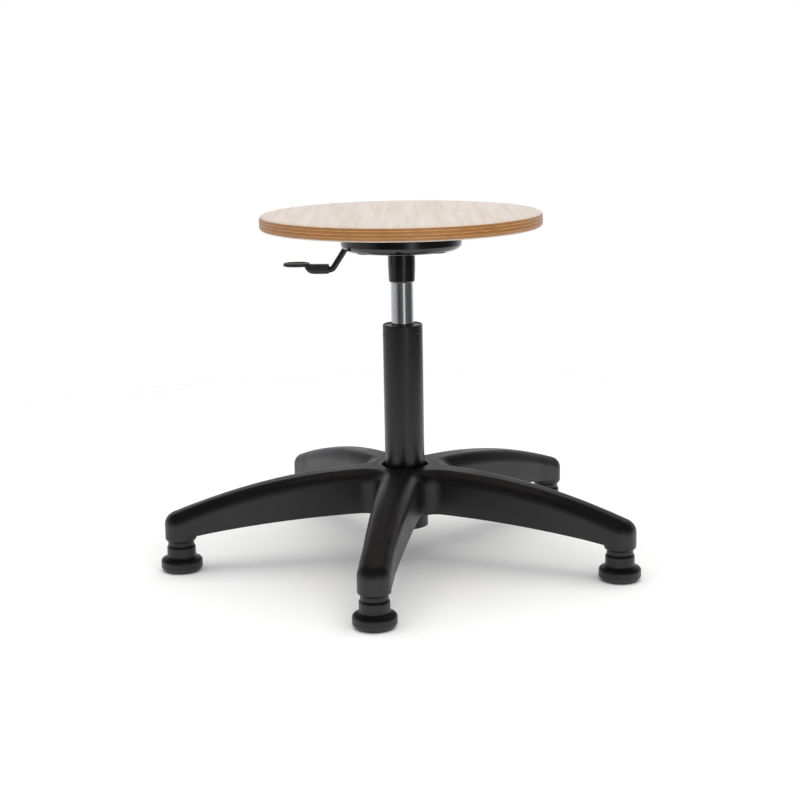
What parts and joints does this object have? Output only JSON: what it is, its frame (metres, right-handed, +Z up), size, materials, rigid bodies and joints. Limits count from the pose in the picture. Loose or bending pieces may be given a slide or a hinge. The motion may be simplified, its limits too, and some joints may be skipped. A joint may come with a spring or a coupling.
{
  "type": "swivel stool",
  "caption": "Round plywood seat on a gas-lift column with a release lever, turning on a five-arm base with fixed glides.",
  "frame": {"origin": "on the floor, on the column's axis, where the glides' flat soles stand", "axes": "+Z up along the column's axis; the release lever points along -X; the front arm heads a little off -Y"},
  "size_m": [0.5919, 0.5869, 0.438],
  "materials": {
    "base_nylon": "satin, fine moulded grain",
    "glide_nylon": "satin",
    "stem_steel": "bright drawn",
    "spring_steel": "oiled",
    "column_paint": "satin powder coat",
    "bush_acetal": "smooth moulded",
    "bearing_steel": "ground",
    "ball_steel": "polished",
    "cage_brass": "satin",
    "buffer_rubber": "matt",
    "rod_steel": "ground and hard chromed",
    "piston_aluminium": "turned",
    "piston_ptfe": "smooth",
    "cylinder_chrome": "bright chrome over fine drawing marks",
    "tube_steel": "cold drawn",
    "seal_rubber": "oiled",
    "plywood": "clear satin lacquer",
    "zinc_steel": "zinc plated",
    "pan_enamel": "gloss enamel",
    "bracket_steel": "zinc plated sheet",
    "lever_paint": "satin",
    "paddle_plastic": "satin moulded",
    "button_steel": "turned"
  },
  "bodies": {
    "base": {"star_base": "base_nylon", "glide_1": "glide_nylon", "glide_2": "glide_nylon", "glide_3": "glide_nylon", "glide_4": "glide_nylon", "glide_5": "glide_nylon", "glide_stem_1": "stem_steel", "glide_stem_2": "stem_steel", "glide_stem_3": "stem_steel", "glide_stem_4": "stem_steel", "glide_stem_5": "stem_steel", "stem_rings": "spring_steel", "column_tube": "column_paint", "guide_bush": "bush_acetal", "lower_race": "bearing_steel"},
    "cage": {"ball_cage": "cage_brass", "bearing_balls": "ball_steel"},
    "rod": {"piston_rod": "rod_steel", "upper_race": "bearing_steel", "rubber_buffer": "buffer_rubber", "rod_washer": "bearing_steel", "rod_clip": "spring_steel", "piston": "piston_aluminium", "piston_ring": "piston_ptfe"},
    "seat": {"seat_disc": "plywood", "insert_nuts": "zinc_steel", "mount_pan": "pan_enamel", "pan_screws": "zinc_steel", "pan_washers": "zinc_steel", "socket_tube": "pan_enamel", "lever_bracket": "bracket_steel", "pivot_pin": "zinc_steel", "pin_clip": "spring_steel", "gas_cylinder": "cylinder_chrome", "pressure_tube": "tube_steel", "rod_guide": "piston_ptfe", "rod_seal": "seal_rubber", "valve_body": "piston_aluminium", "valve_seal": "seal_rubber"},
    "lever": {"lever_yoke": "bracket_steel", "lever_rod": "lever_paint", "lever_paddle": "paddle_plastic"},
    "button": {"release_button": "button_steel", "valve_pin": "button_steel"}
  },
  "joints": [
    {"name": "seat_swivel", "type": "hinge", "parent": "base", "child": "rod", "pos_m": [0, 0, 0.05], "axis": [0, 0, 1], "continuous": true},
    {"name": "seat_lift", "type": "slide", "parent": "rod", "child": "seat", "axis": [0, 0, 1], "range_m": [-0.045, 0.105]},
    {"name": "release_lever", "type": "hinge", "parent": "seat", "child": "lever", "pos_m": [-0.022, 0, 0.4093], "axis": [0, 1, 0], "range_deg": [0, 8]},
    {"name": "release_button", "type": "slide", "parent": "seat", "child": "button", "axis": [0, 0, 1], "range_m": [-0.0033, 0]},
    {"name": "bearing_cage", "type": "hinge", "parent": "base", "child": "cage", "pos_m": [0, 0, 0.0454], "axis": [0, 0, 1], "continuous": true}
  ],
  "couplings": [
    {"joint": "release_button", "follows": "release_lever", "m_per_rad": -0.0235},
    {"joint": "bearing_cage", "follows": "seat_swivel", "ratio": 0.5}
  ]
}
